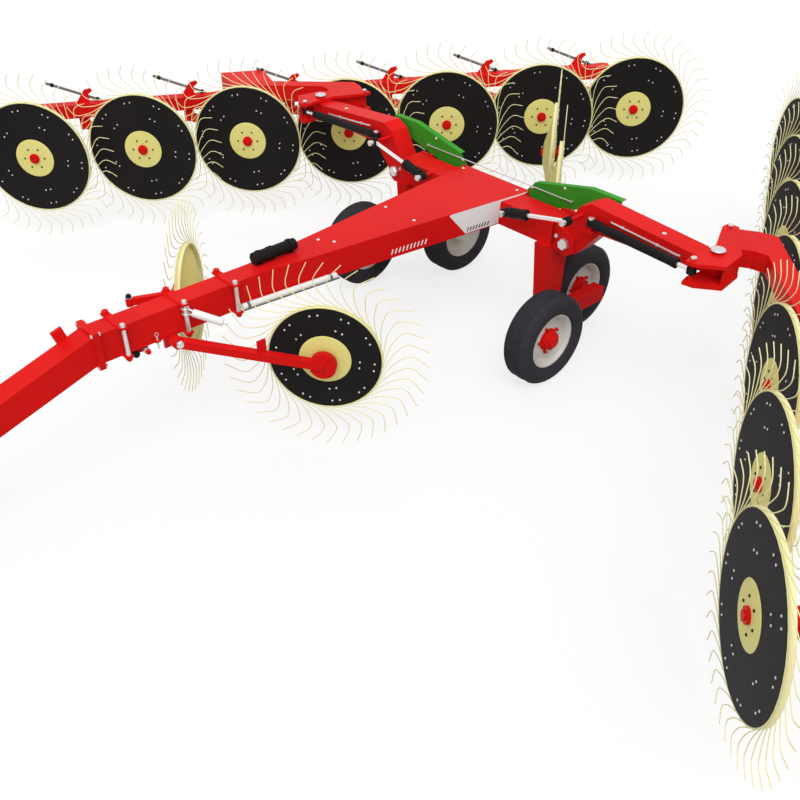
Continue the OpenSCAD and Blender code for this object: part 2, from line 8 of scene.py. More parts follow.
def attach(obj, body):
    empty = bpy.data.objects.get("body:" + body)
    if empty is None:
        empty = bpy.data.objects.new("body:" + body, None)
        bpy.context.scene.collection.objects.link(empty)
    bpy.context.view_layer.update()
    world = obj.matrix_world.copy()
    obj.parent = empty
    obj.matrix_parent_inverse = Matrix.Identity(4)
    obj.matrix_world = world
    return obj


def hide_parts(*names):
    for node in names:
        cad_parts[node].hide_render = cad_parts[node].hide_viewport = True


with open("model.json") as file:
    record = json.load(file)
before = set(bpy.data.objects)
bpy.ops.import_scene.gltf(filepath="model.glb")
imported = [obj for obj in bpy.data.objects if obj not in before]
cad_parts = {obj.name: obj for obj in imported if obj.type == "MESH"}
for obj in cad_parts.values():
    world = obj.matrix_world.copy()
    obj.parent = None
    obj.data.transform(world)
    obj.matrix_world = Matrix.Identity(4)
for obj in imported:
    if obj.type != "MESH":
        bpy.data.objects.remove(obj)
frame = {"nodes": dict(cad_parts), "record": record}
nodes = frame["nodes"]
joints = {j["name"]: j for j in frame["record"]["behaviour"]["joints"]}
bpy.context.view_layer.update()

# Studio: a pale floor without an end, an even white world and one broad soft key light from above
# the camera's left. The floor shows the camera part of its own white, so shadows stay faint.
CAMERA_PLACE = Vector((4.15, 4.71, 3.85))
CAMERA_YAW, CAMERA_PITCH, CAMERA_ROLL = map(math.radians, (-130.9, -38.7, -0.6))
PHOTO_SIDE = 800
FOCAL_PIXELS = 951
SENSOR_WIDTH = 36
HORIZON_SHIFT_PIXELS = 62
FLOOR_SIDE = 160
FLOOR_OWN_WHITE, FLOOR_GLOW = 0.74, 1.03
SKY_LIGHT = 0.74
KEY_STRENGTH, KEY_SPREAD = 1.25, math.radians(40)
KEY_TILT = (math.radians(-29), math.radians(25), 0)
FLOOR_SEEN, FLOOR_BOUNCE = (0.95, 0.95, 0.95, 1), (0.34, 0.34, 0.34, 1)

scene = bpy.context.scene
scene.view_settings.view_transform = "Standard"
camera = bpy.data.objects.new("camera", bpy.data.cameras.new("camera"))
camera.data.sensor_width = SENSOR_WIDTH
camera.data.lens = SENSOR_WIDTH * FOCAL_PIXELS / PHOTO_SIDE
camera.data.shift_y = HORIZON_SHIFT_PIXELS / PHOTO_SIDE
camera.data.clip_end = 200
camera.matrix_world = (
    Matrix.Translation(CAMERA_PLACE)
    @ Matrix.Rotation(CAMERA_YAW - math.pi / 2, 4, "Z")
    @ Matrix.Rotation(math.pi / 2 + CAMERA_PITCH, 4, "X")
    @ Matrix.Rotation(CAMERA_ROLL, 4, "Z")
)
scene.collection.objects.link(camera)
scene.camera = camera


class Wire:
    """A shader socket that adds Math nodes when it is used in an expression."""

    def __init__(self, tree, socket):
        self.tree, self.socket = tree, socket

    def node(self, kind, settings=None, out=0, **inputs):
        """Adds a node; inputs are named with _ for a space, or i0, i1 ... by place."""
        made = self.tree.nodes.new(kind)
        for key, value in (settings or {}).items():
            setattr(made, key, value)
        for key, value in inputs.items():
            by_place = key[0] == "i" and key[1:].isdigit()
            socket = made.inputs[int(key[1:]) if by_place else key.replace("_", " ")]
            if isinstance(value, Wire):
                self.tree.links.new(value.socket, socket)
            else:
                socket.default_value = value
        return Wire(self.tree, made.outputs[out])

    def maths(self, operation, a, b):
        return self.node("ShaderNodeMath", {"operation": operation}, i0=a, i1=b)

    def __add__(self, other):
        return self.maths("ADD", self, other)

    def __sub__(self, other):
        return self.maths("SUBTRACT", self, other)

    def __rsub__(self, other):
        return self.maths("SUBTRACT", other, self)

    def __mul__(self, other):
        return self.maths("MULTIPLY", self, other)

    __radd__, __rmul__ = __add__, __mul__


def new_material(name):
    """An empty material: its principled shader and a Wire on the object's own coordinates."""
    made = bpy.data.materials.new(name)
    made.use_nodes = True
    shader = made.node_tree.nodes["Principled BSDF"]
    place = Wire(made.node_tree, made.node_tree.nodes.new("ShaderNodeTexCoord").outputs["Object"])
    return made, shader, place


def feed(shader, **inputs):
    """Links a Wire to each named input, or sets it."""
    for key, value in inputs.items():
        socket = shader.inputs[key.replace("_", " ")]
        if isinstance(value, Wire):
            value.tree.links.new(value.socket, socket)
        else:
            socket.default_value = value


floor_paint, floor_shader, floor_place = new_material("floor_white")


def shown(wire):
    """1 for rays that show the surroundings: to the camera, in metal and through glass."""
    camera_ray, glossy_ray, transmission_ray = (
        wire.node("ShaderNodeLightPath", out=f"Is {kind} Ray")
        for kind in ("Camera", "Glossy", "Transmission"))
    return camera_ray + glossy_ray + transmission_ray


seen = shown(floor_place)
floor_tone = floor_place.node("ShaderNodeMix", {"data_type": "RGBA"}, out=2,
                              Factor=seen, A=FLOOR_BOUNCE, B=FLOOR_SEEN)
feed(floor_shader, Base_Color=floor_tone, Roughness=0.9)
own_white = floor_place.node("ShaderNodeEmission", Color=(1, 1, 1, 1), Strength=FLOOR_GLOW)
lit_white = Wire(floor_place.tree, floor_shader.outputs[0])
floor_mix = floor_place.node("ShaderNodeMixShader", i0=FLOOR_OWN_WHITE * seen,
                             i1=lit_white, i2=own_white)
feed(floor_paint.node_tree.nodes["Material Output"], Surface=floor_mix)
bpy.ops.mesh.primitive_plane_add(size=FLOOR_SIDE, location=(0, 0, 0))
floor = bpy.context.object
floor.name = "studio_floor"
floor.data.materials.append(floor_paint)

world = bpy.data.worlds.new("studio_sky")
scene.world = world
world.use_nodes = True
sky = world.node_tree.nodes["Background"]
sky.inputs["Color"].default_value = (1, 1, 1, 1)
feed(sky, Strength=SKY_LIGHT + (1 - SKY_LIGHT) * shown(Wire(world.node_tree, sky.outputs[0])))
key_light = bpy.data.objects.new("key_light", bpy.data.lights.new("key_light", "SUN"))
key_light.data.energy = KEY_STRENGTH
key_light.data.angle = KEY_SPREAD
key_light.rotation_euler = KEY_TILT
scene.collection.objects.link(key_light)

# Welded frame, drawbar, wing arms, banks and kicker arms: folded sheet and box beam, shot-blasted
# and sprayed with red enamel. The film has a faint orange peel and a slow drift in depth of colour.
RED = (0.80, 0.012, 0.010, 1)
RED_DEEP = (0.70, 0.010, 0.010, 1)
SOFT_EDGE = 0.003


def enamel(name, colour, deep, roughness=0.36, peel=0.02, shine=0.3):
    """Sprayed enamel: slow colour drift, fine specks in the gloss and an orange peel."""
    made, shader, place = new_material(name)
    drift = place.node("ShaderNodeTexNoise", Vector=place, Scale=1.7, Detail=2.0)
    speck = place.node("ShaderNodeTexNoise", Vector=place, Scale=60.0, Detail=4.0)
    shade = place.node("ShaderNodeMapRange", {"clamp": True}, Value=drift, From_Min=0.3, From_Max=0.7)
    tone = place.node("ShaderNodeMix", {"data_type": "RGBA"}, out=2, Factor=shade, A=deep, B=colour)
    orange_peel = place.node("ShaderNodeTexNoise", Vector=place, Scale=420.0, Detail=1.0)
    bump = place.node("ShaderNodeBump", Strength=peel, Distance=0.002, Height=orange_peel)
    feed(shader, Base_Color=tone, Roughness=roughness + 0.12 * (speck - 0.5), Normal=bump)
    feed(shader, Specular_IOR_Level=shine)
    return made


def dress(node, material, edge=0.0):
    """Gives a CAD node its finish and rounds its sharp edges as folding and welding do."""
    obj = nodes[node]
    obj.data.materials.clear()
    obj.data.materials.append(material)
    if edge:
        weld = obj.modifiers.new("joined", "WELD")
        weld.merge_threshold = 0.00002
        bevel = obj.modifiers.new("edge", "BEVEL")
        bevel.width, bevel.segments = edge, 2
        bevel.limit_method, bevel.angle_limit = "ANGLE", math.radians(40)
        bevel.harden_normals = True


red_enamel = enamel("red_enamel", RED, RED_DEEP, shine=0.04)
for node in nodes:
    if node.startswith(("main_frame", "drawbar", "wing_arm", "bank_", "kicker_arm")):
        dress(node, red_enamel, SOFT_EDGE)

# Guards behind the wing roots: two folded sheets on the cross beam, sprayed with green enamel. Their
# thin edges are rounded less than the frame's.
GREEN = (0.058, 0.36, 0.030, 1)
GREEN_DEEP = (0.042, 0.30, 0.024, 1)
THIN_EDGE = 0.0015
green_enamel = enamel("green_enamel", GREEN, GREEN_DEEP, shine=0.03)
dress("guards", green_enamel, THIN_EDGE)

# Rake and kicker wheels: a cream dished sheet with a hoop, a hub and forty spring-wire tines that
# lie along the hoop, swing out of it, turn over a tight elbow and trail to the tip.
UP = Vector((0, 0, 1))
TINES = 40
TINE_RADIUS = 0.0029
TINE_LEAD = math.radians(60)
RAKE_DISC, RAKE_TIP, RAKE_TRAIL = 0.470, 0.720, math.radians(27)
KICKER_DISC, KICKER_TIP, KICKER_TRAIL = 0.352, 0.655, math.radians(42)
REAR_DISC, REAR_TIP = 0.410, 0.690
ELBOW_SHARE = 0.6
HOOP_RUN = 0.55
CREAM = (0.92, 0.86, 0.30, 1)
CREAM_DEEP = (0.87, 0.80, 0.26, 1)
RIM_BACK = -0.007
HOOP_BACK = -0.034
DISH_BACK = -0.099
HOOP_OUT, TINE_OUT, HOOP_RADIUS = 0.004, 0.008, 0.0042
HUB_RADIUS, SPINDLE_BORE = 0.060, 0.0305
PLATE_RADIUS = 0.165
PLATE_FRONT = 0.007
cream_enamel = enamel("cream_enamel", CREAM, CREAM_DEEP, roughness=0.45, shine=0.12)
TINE_CREAM, TINE_DEEP = (0.97, 0.94, 0.52, 1), (0.93, 0.89, 0.46, 1)
tine_paint = enamel("tine_paint", TINE_CREAM, TINE_DEEP, roughness=0.5)


def lathe(profile, steps):
    """Surface turned about Z from (radius, height) points, open at both ends of the profile."""
    verts, faces, rows = [], [], len(profile)
    for i in range(steps):
        a = 2 * math.pi * i / steps
        verts += [Vector((r * math.cos(a), r * math.sin(a), z)) for r, z in profile]
    for i in range(steps):
        j = (i + 1) % steps
        faces += [(i * rows + k, j * rows + k, j * rows + k + 1, i * rows + k + 1)
                  for k in range(rows - 1)]
    return verts, faces


def tube(points, radius, sides=8, closed=False):
    """Round wire along points, with flat ends unless it closes on itself."""
    verts, faces, count = [], [], len(points)
    across = None
    for i, p in enumerate(points):
        before = points[(i - 1) % count] if closed or i else p
        after = points[(i + 1) % count] if closed or i < count - 1 else p
        along = (after - before).normalized()
        across = (across or along.orthogonal()) - along * (across or along.orthogonal()).dot(along)
        across.normalize()
        other = along.cross(across)
        for k in range(sides):
            a = 2 * math.pi * k / sides
            verts.append(p + radius * (math.cos(a) * across + math.sin(a) * other))
    for i in range(count if closed else count - 1):
        j = (i + 1) % count
        for k in range(sides):
            m = (k + 1) % sides
            faces.append((i * sides + k, i * sides + m, j * sides + m, j * sides + k))
    if not closed:
        faces += [tuple(range(sides - 1, -1, -1)), tuple(range((count - 1) * sides, count * sides))]
    return verts, faces


def piece(name, body, material, parts, place=Matrix.Identity(4), smooth=True):
    """One mesh object from (verts, faces) parts, put in place, given its finish and set on its body."""
    verts, faces = [], []
    for part_verts, part_faces in parts:
        start = len(verts)
        verts += [place @ Vector(v) for v in part_verts]
        faces += [tuple(start + i for i in f) for f in part_faces]
    if place.determinant() < 0:
        faces = [f[::-1] for f in faces]
    mesh = bpy.data.meshes.new(name)
    mesh.from_pydata(verts, [], faces)
    mesh.polygons.foreach_set("use_smooth", [smooth] * len(mesh.polygons))
    if smooth:
        mesh.set_sharp_from_angle(angle=math.radians(35))
    mesh.materials.append(material)
    obj = bpy.data.objects.new(name, mesh)
    scene.collection.objects.link(obj)
    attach(obj, body)
    return obj


def reach(start, lean, end):
    """Length of a leg from radius start, leaning from the radius, to radius end."""
    return -start * math.cos(lean) + math.sqrt((start * math.cos(lean)) ** 2 + end * end - start * start)


def curve(a, b, c, count):
    """Points of the quadratic curve from a to c that is drawn towards b."""
    return [a.lerp(b, t / count).lerp(b.lerp(c, t / count), t / count) for t in range(count + 1)]


def tine_path(root, tip, trail, turn):
    """Points of one tine at angle turn: along the hoop, out of it, over the elbow, tip."""
    elbow = root + ELBOW_SHARE * (tip - root)
    first = reach(root, TINE_LEAD, elbow)
    out = math.asin(first * math.sin(TINE_LEAD) / elbow) - trail
    knee = Vector((root + first * math.cos(TINE_LEAD), first * math.sin(TINE_LEAD), 0))
    end = knee + reach(elbow, trail, tip) * Vector((math.cos(out), math.sin(out), 0))
    run = [Vector((root * math.cos(a), root * math.sin(a), RIM_BACK * 0.6 * a / HOOP_RUN))
           for a in (-HOOP_RUN, -HOOP_RUN * 0.66)]
    leave = Vector((root * math.cos(-HOOP_RUN * 0.4), root * math.sin(-HOOP_RUN * 0.4), 0))
    tangent = leave + Vector((math.sin(HOOP_RUN * 0.4), math.cos(HOOP_RUN * 0.4), 0)) * first * 0.7
    middle = tangent.lerp(knee, 0.35)
    bend = curve(knee.lerp(middle, 0.45), knee, knee.lerp(end, 0.45), 6)
    path = run + curve(leave, tangent, middle, 5) + bend + [end]
    spin = Matrix.Rotation(turn, 3, "Z")
    return [spin @ p + Vector((0, 0, RIM_BACK / 2)) for p in path]


def wheel_place(joint, flip):
    """Local wheel frame: Z out of the wind disc, Y up, X along the wheel, flipped for one hand."""
    at, axis = Vector(joint["pos_m"]), Vector(joint["axis"]).normalized()
    along = UP.cross(axis) * (-1 if flip else 1)
    turn = Matrix((along, UP, axis)).transposed()
    return Matrix.Translation(at) @ turn.to_4x4()


def tined_wheel(name, body, node, disc, tip, trail, place):
    """Dished sheet, hoop, hub, plate and tines of one wheel, for its CAD node."""
    root = disc + HOOP_OUT
    hoop = [Vector((root * math.cos(a), root * math.sin(a), RIM_BACK / 2))
            for a in (2 * math.pi * i / 96 for i in range(96))]
    dish = lathe([(SPINDLE_BORE, DISH_BACK), (HUB_RADIUS, DISH_BACK), (HUB_RADIUS + 0.026, DISH_BACK),
                  (disc * 0.55, RIM_BACK - 0.052), (disc - 0.02, RIM_BACK - 0.004),
                  (disc, RIM_BACK - 0.001), (disc + 0.003, -0.004), (disc + 0.001, -0.001)], 96)
    hub = lathe([(HUB_RADIUS - 0.004, DISH_BACK), (HUB_RADIUS - 0.004, PLATE_FRONT)], 32)
    plate = lathe([(PLATE_RADIUS, 0.003), (PLATE_RADIUS - 0.003, PLATE_FRONT - 0.001),
                   (PLATE_RADIUS - 0.012, PLATE_FRONT), (HUB_RADIUS, PLATE_FRONT + 0.0005),
                   (SPINDLE_BORE, PLATE_FRONT)], 64)
    tines = [tube(tine_path(disc + TINE_OUT, tip, trail, 2 * math.pi * i / TINES), TINE_RADIUS, 6)
             for i in range(TINES)]
    wheel = piece(name, body, cream_enamel, [dish, hub, plate], place)
    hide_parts(node)
    band = lathe([(root - 0.005, RIM_BACK - 0.003), (root - 0.006, HOOP_BACK + 0.004),
                  (root - 0.004, HOOP_BACK), (root + 0.002, HOOP_BACK), (root + 0.0045, HOOP_BACK + 0.002),
                  (root + 0.004, RIM_BACK - 0.001), (root, RIM_BACK)], 96)
    piece(f"{name}_tines", body, tine_paint, [tube(hoop, HOOP_RADIUS, 8, True), band, *tines], place)


# Wind discs: flat sheet painted black, held by pairs of zinc bolts, ten to the hoop and five to the
# dish. On the rake wheels six dark bolts hold the cream plate to the hub. BOLT_PAIRS has for each ring
# its share of the disc's radius, its pairs, the gap in a pair and the ring's turn in steps of a pair.
BOLT_PAIRS = ((0.88, 10, 0.050, 0.778), (0.62, 5, 0.045, 0.889))
DISC_FRONT = 0.003
PLATE_BOLT_RING = 0.088
BLACK = (0.015, 0.0125, 0.0125, 1)
BLACK_DEEP = (0.011, 0.0095, 0.0098, 1)
black_enamel = enamel("black_enamel", BLACK, BLACK_DEEP, roughness=0.6, peel=0.03, shine=0.09)
zinc, zinc_shader, zinc_place = new_material("zinc_plate")
zinc_cloud = zinc_place.node("ShaderNodeTexNoise", Vector=zinc_place, Scale=140.0, Detail=3.0)
zinc_tone = zinc_place.node("ShaderNodeMix", {"data_type": "RGBA"}, out=2, Factor=zinc_cloud,
                            A=(0.60, 0.60, 0.60, 1), B=(0.80, 0.80, 0.78, 1))
feed(zinc_shader, Base_Color=zinc_tone, Metallic=0.75, Roughness=0.25 + 0.25 * zinc_cloud)


def stack(rings):
    """Surface over rings of points, one above the other, closed on top."""
    n, top = len(rings[0]), len(rings) - 1
    faces = [(j * n + k, j * n + (k + 1) % n, (j + 1) * n + (k + 1) % n, (j + 1) * n + k)
             for j in range(top) for k in range(n)]
    return [p for ring in rings for p in ring], faces + [tuple(range(top * n, (top + 1) * n))]


def hex_head(at, size, height, turn=0.0):
    """Hexagon bolt head with a chamfered top, standing on Z at that place."""
    corners = [turn + k * math.pi / 3 for k in range(6)]
    return stack([[Vector(at) + Vector((r * math.cos(a), r * math.sin(a), z)) for a in corners]
                  for r, z in ((size, 0.0), (size, 0.75 * height), (0.82 * size, height))])


def bolt_ring(count, r, z, size, height):
    """Hexagon heads spread evenly round Z at that radius and height."""
    turns = [2 * math.pi * i / count for i in range(count)]
    return [hex_head((r * math.cos(a), r * math.sin(a), z), size, height, a) for a in turns]


def disc_bolts(name, body, disc, place):
    """Zinc pairs on the wind disc of one wheel."""
    heads = []
    for share, pairs, gap, shift in BOLT_PAIRS:
        r = share * disc
        for i in range(pairs):
            for side in (-0.5, 0.5):
                a = 2 * math.pi * (i + shift) / pairs + side * gap / r
                heads.append(hex_head((r * math.cos(a), r * math.sin(a), DISC_FRONT), 0.007, 0.005, a))
    piece(f"{name}_pairs", body, zinc, heads, place, smooth=False)


plate_bolts = bolt_ring(6, PLATE_BOLT_RING, PLATE_FRONT, 0.008, 0.006)
for side, mirrored in (("left", False), ("right", True)):
    for k in range(1, 8):
        body = f"rake_{side}_{k}"
        place = wheel_place(joints[f"{body}_spin"], not mirrored)
        tined_wheel(f"rake_wheel_{side}_{k}", body, f"fingers_{side}_{k}",
                    RAKE_DISC, RAKE_TIP, RAKE_TRAIL, place)
        disc_bolts(f"rake_bolts_{side}_{k}", body, RAKE_DISC, place)
        piece(f"rake_bolts_{side}_{k}_plate", body, black_enamel, plate_bolts, place,
              smooth=False)
        dress(f"disc_{side}_{k}", black_enamel)
    body = f"kicker_{side}"
    place = wheel_place(joints[f"{body}_spin"], mirrored)
    tined_wheel(f"kicker_wheel_{side}", body, f"kicker_fingers_{side}",
                KICKER_DISC, KICKER_TIP, KICKER_TRAIL, place)
    disc_bolts(f"kicker_bolts_{side}", body, KICKER_DISC, place)
    dress(f"kicker_disc_{side}", black_enamel)
for k in (1, 2):
    body = f"rear_kicker_{k}"
    place = wheel_place(joints[f"{body}_spin"], False)
    tined_wheel(f"rear_kicker_wheel_{k}", body, body, REAR_DISC, REAR_TIP, KICKER_TRAIL, place)
    disc_bolts(f"rear_kicker_bolts_{k}", body, REAR_DISC, place)
    edge = REAR_DISC - 0.001
    wind_sheet = lathe([(edge, -0.001), (edge, 0.001), (edge - 0.001, 0.0025), (HUB_RADIUS, 0.0025)], 96)
    piece(f"rear_kicker_disc_{k}", body, black_enamel, [wind_sheet], place)

# Ground wheels: moulded rubber implement tyres with fine ribs round the tread, on pressed steel rims
# sprayed silver. A red hub and five red nuts sit on the outer side of each rim.
TYRE_RADIUS, TYRE_HALF, RIM_RADIUS = 0.3325, 0.108, 0.200
RIBS, RIB_WIDTH, GROOVE, GROOVE_DEPTH, CROWN_DROP = 7, 0.0135, 0.0055, 0.005, 0.0016
NUT_RING, RIM_FACE = 0.092, 0.036
rubber, rubber_shader, rubber_place = new_material("tyre_rubber")
scuff = rubber_place.node("ShaderNodeTexNoise", Vector=rubber_place, Scale=24.0, Detail=5.0)
rubber_tone = rubber_place.node("ShaderNodeMix", {"data_type": "RGBA"}, out=2, Factor=scuff,
                                A=(0.026, 0.025, 0.031, 1), B=(0.050, 0.048, 0.057, 1))
feed(rubber_shader, Base_Color=rubber_tone, Roughness=0.65 + 0.25 * scuff, Specular_IOR_Level=0.14)
rim_silver = enamel("rim_silver", (0.74, 0.73, 0.70, 1), (0.67, 0.66, 0.63, 1), roughness=0.35)

half_shape = [(RIM_RADIUS + 0.0005, TYRE_HALF - 0.028), (RIM_RADIUS + 0.006, TYRE_HALF - 0.018),
              (RIM_RADIUS + 0.016, TYRE_HALF - 0.010), (RIM_RADIUS + 0.020, TYRE_HALF - 0.010),
              (RIM_RADIUS + 0.024, TYRE_HALF - 0.006), (RIM_RADIUS + 0.050, TYRE_HALF - 0.001),
              (RIM_RADIUS + 0.062, TYRE_HALF), (TYRE_RADIUS - 0.062, TYRE_HALF - 0.002),
              (TYRE_RADIUS - 0.052, TYRE_HALF - 0.004), (TYRE_RADIUS - 0.048, TYRE_HALF - 0.003),
              (TYRE_RADIUS - 0.028, TYRE_HALF - 0.012), (TYRE_RADIUS - 0.014, TYRE_HALF - 0.025),
              (TYRE_RADIUS - 0.006, TYRE_HALF - 0.036), (TYRE_RADIUS - 0.002, TYRE_HALF - 0.043)]
tread = []
for rib in range(RIBS):
    start = (rib - RIBS / 2) * (RIB_WIDTH + GROOVE) + GROOVE / 2
    end = start + RIB_WIDTH
    crown = TYRE_RADIUS - CROWN_DROP * abs(rib - (RIBS - 1) / 2) ** 1.2
    tread += [(crown - GROOVE_DEPTH, start - 0.001), (crown - 0.0008, start), (crown, start + 0.001),
              (crown, end - 0.001), (crown - 0.0008, end), (crown - GROOVE_DEPTH, end + 0.001)]
tyre_shape = [(r, -z) for r, z in half_shape] + tread + half_shape[::-1]
hub_shape = [(0.0815, 0.0362), (0.0815, 0.040), (0.0690, 0.0415), (0.0675, 0.044), (0.0675, 0.0785),
             (0.0655, 0.0815), (0.0460, 0.0825)]
hub_ends = {"front": [(0.0450, 0.0845), (0.0440, 0.0985), (0.0410, 0.1020), (0.0, 0.1030)],
            "rear": [(0.0270, 0.0830)]}
for side, hand in (("left", 1), ("right", -1)):
    for spot in ("front", "rear"):
        wheel, node = f"wheel_{side}_{spot}", f"{side}_{spot}"
        at = Vector(joints[f"{wheel}_spin"]["pos_m"])
        place = Matrix.Translation(at) @ Matrix.Rotation(-hand * math.pi / 2, 4, "X")
        tyre = piece(f"ribbed_tyre_{node}", wheel, rubber, [lathe(tyre_shape, 96)], place)
        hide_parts(f"tyre_{node}")
        dress(f"rim_{node}", rim_silver)
        hub = [lathe(hub_shape + hub_ends[spot], 48), *bolt_ring(5, NUT_RING, RIM_FACE, 0.0125, 0.024)]
        piece(f"red_hub_{node}", wheel, red_enamel, hub, place)

# Hydraulic cylinders: black barrels with a weld collar, a gland and an eye, and chromed rods with black
# eyes, on the CAD places of the fold and swing cylinders. Each row of CYLINDERS has the base pin, the
# rod pin, the pins' direction, the barrel's radius, the barrel's mouth and the rod's inner end.
AHEAD = Vector((1, 0, 0))
FOLD_BASE, FOLD_END = Vector((-0.560, 0.436, 1.034)), Vector((-0.560, 0.987, 1.150))
SWING_BASE, SWING_END = Vector((-0.670, 1.100, 1.143)), Vector((-0.598, 1.940, 1.143))
CYLINDERS = {"fold": (FOLD_BASE, FOLD_END, AHEAD, 0.036, 0.205, 0.160),
             "swing": (SWING_BASE, SWING_END, UP, 0.030, 0.735, 0.300)}
ROD_RADIUS = 0.014
HANDS = (("left", Matrix.Identity(4)), ("right", Matrix.Diagonal((1, -1, 1, 1))))
chrome, chrome_shader, chrome_place = new_material("rod_chrome")
brushed = chrome_place.node("ShaderNodeTexNoise", Vector=chrome_place, Scale=90.0)
feed(chrome_shader, Base_Color=(0.84, 0.84, 0.84, 1), Metallic=0.9, Roughness=0.16 + 0.12 * brushed)


def along(start, end):
    """Matrix that puts the origin on start and turns Z towards end."""
    z = (Vector(end) - Vector(start)).normalized()
    x = z.orthogonal().normalized()
    return Matrix.Translation(start) @ Matrix((x, z.cross(x), z)).transposed().to_4x4()


def put(part, place):
    """A part moved by a matrix."""
    return [place @ v for v in part[0]], part[1]


def facing(part, at, way):
    """A part that stands on Z, set on a place and turned to face that way."""
    return put(part, along(Vector(at), Vector(at) + Vector(way)))


def eye(at, axis, bore, radius, half):
    """Ring with rounded rims about an axis: a cylinder's eye or a saddle."""
    ring = lathe([(bore, -half), (radius - 0.002, -half), (radius, -half + 0.002), (radius, half - 0.002),
                  (radius - 0.002, half), (bore, half), (bore, -half)], 40)
    return facing(ring, at, axis)


for kind, (base, end, axis, bore, mouth, inner) in CYLINDERS.items():
    length = (end - base).length
    shell = lathe([(0.012, 0.020), (bore - 0.004, 0.020), (bore, 0.025), (bore, 0.058),
                   (bore + 0.002, 0.062), (bore + 0.002, 0.068), (bore, 0.072), (bore, mouth - 0.040),
                   (bore + 0.002, mouth - 0.036), (bore + 0.002, mouth - 0.006),
                   (bore - 0.003, mouth - 0.003), (0.022, mouth - 0.003), (0.020, mouth),
                   (ROD_RADIUS + 0.0003, mouth)], 48)
    stem = lathe([(0.0, inner), (ROD_RADIUS, inner), (ROD_RADIUS, length - 0.030),
                  (0.018, length - 0.029), (0.018, length - 0.022)], 32)
    barrel_parts = [put(shell, along(base, end)), eye(base, axis, 0.0152, 0.030, 0.7 * bore)]
    for side, hand in HANDS:
        barrel = piece(f"{kind}_barrel_look_{side}", f"{kind}_barrel_{side}", black_enamel, barrel_parts,
                       hand)
        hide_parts(f"{kind}_barrel_{side}")
        rod = piece(f"{kind}_rod_look_{side}", f"{kind}_rod_{side}", chrome, [put(stem, along(base, end))],
                    hand)
        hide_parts(f"{kind}_rod_{side}")
        piece(f"{kind}_rod_eye_{side}", f"{kind}_rod_{side}", black_enamel,
              [eye(end, axis, 0.020, 0.031, 0.020)], hand)

# Pins and bolts of the wings and banks: zinc heads and spacers on the cylinder pins, a nut on the fold
# pin, and a broad pale cap on the bank's pivot pin.
FOLD_PIN, FOLD_KEEPER = (-0.681, 0.886, 0.913), (-0.681, 0.812, 0.950)
BANK_PIN, NECK_BOLT = (-0.792, 1.979, 1.2275), (-1.152, 1.829, 1.2215)
WING_TOP_BOLT = (-0.770, 1.600, 1.2055)
cap = lathe([(0.046, 0.0), (0.046, 0.003), (0.040, 0.009), (0.026, 0.013), (0.0, 0.014)], 40)
spacer = lathe([(0.0126, 0.0), (0.0185, 0.0), (0.0185, 0.022), (0.0126, 0.022)], 24)


def bolt(size, height, at, way):
    """Hexagon head or nut on a place, facing that way."""
    return facing(hex_head((0, 0, 0), size, height), at, way)


for side, hand in HANDS:
    frame_pins = [bolt(0.043, 0.032, FOLD_PIN, AHEAD),
                  bolt(0.017, 0.012, FOLD_KEEPER, AHEAD),
                  bolt(0.024, 0.012, FOLD_BASE + 0.048 * AHEAD, AHEAD),
                  facing(spacer, FOLD_BASE + 0.026 * AHEAD, AHEAD)]
    piece(f"frame_pin_heads_{side}", "frame", zinc, frame_pins, hand, smooth=False)
    wing_pins = [bolt(0.024, 0.012, FOLD_END + 0.048 * AHEAD, AHEAD),
                 facing(spacer, FOLD_END + 0.026 * AHEAD, AHEAD),
                 bolt(0.022, 0.012, SWING_BASE + 0.025 * UP, UP),
                 bolt(0.016, 0.009, WING_TOP_BOLT, UP)]
    piece(f"wing_pin_heads_{side}", f"wing_{side}", zinc, wing_pins, hand, smooth=False)
    bank_pins = [facing(cap, BANK_PIN, UP),
                 bolt(0.020, 0.012, SWING_END + 0.0785 * UP, UP),
                 bolt(0.020, 0.012, NECK_BOLT, UP)]
    piece(f"bank_pin_heads_{side}", f"bank_{side}", zinc, bank_pins, hand)

# Oil pipes along the swing cylinders: thin bent steel pipe, zinc plated, that lies on the wing arm's
# front face in two clips.
PIPE_X, PIPE_RADIUS = -0.7055, 0.006
line = curve(Vector((PIPE_X, 1.240, 1.180)), Vector((PIPE_X, 1.340, 1.172)),
             Vector((PIPE_X, 1.760, 1.142)), 10)
pipe = tube([Vector((-0.715, 1.226, 1.180)), *line, Vector((-0.715, 1.774, 1.141))], PIPE_RADIUS)
clip = lathe([(0.0062, -0.008), (0.011, -0.008), (0.011, 0.008), (0.0062, 0.008)], 20)
clips = [facing(clip, line[i], line[i + 1] - line[i]) for i in (3, 8)]
for side, hand in HANDS:
    piece(f"swing_pipe_{side}", f"wing_{side}", zinc, [pipe, *clips], hand)

# Straight beam: three clamps drawn by long zinc-plated bolts with domed heads, sleeves and red nuts,
# the bolted knee flange, and the dark nut on its washer at the hose bracket's end.
CLAMP_X = (2.245, 1.840, 1.480)
CLAMP_HALF, CLAMP_TOP, SLEEVE_FOOT, CLAMP_FOOT = 0.106, 1.0715, 0.8815, 0.8675
KNEE_BOLTS = ((-0.093, 0.866), (0.093, 0.866), (-0.093, 1.0745), (0.093, 1.0745))
KNEE_FRONT, KNEE_REAR = 2.4295, 2.3905
BRACKET_X, BRACKET_Y = 2.040, -0.205
dome = lathe([(0.0168, 0.0), (0.0168, 0.013), (0.0150, 0.0195), (0.0080, 0.0235), (0.0, 0.024)], 32)
sleeve = lathe([(0.0132, 0.0), (0.0142, 0.0), (0.0142, 0.176), (0.0132, 0.176)], 24)
washer = lathe([(0.024, 0.0), (0.024, 0.003), (0.012, 0.003)], 32)
clamp_bolts, clamp_nuts = [], []
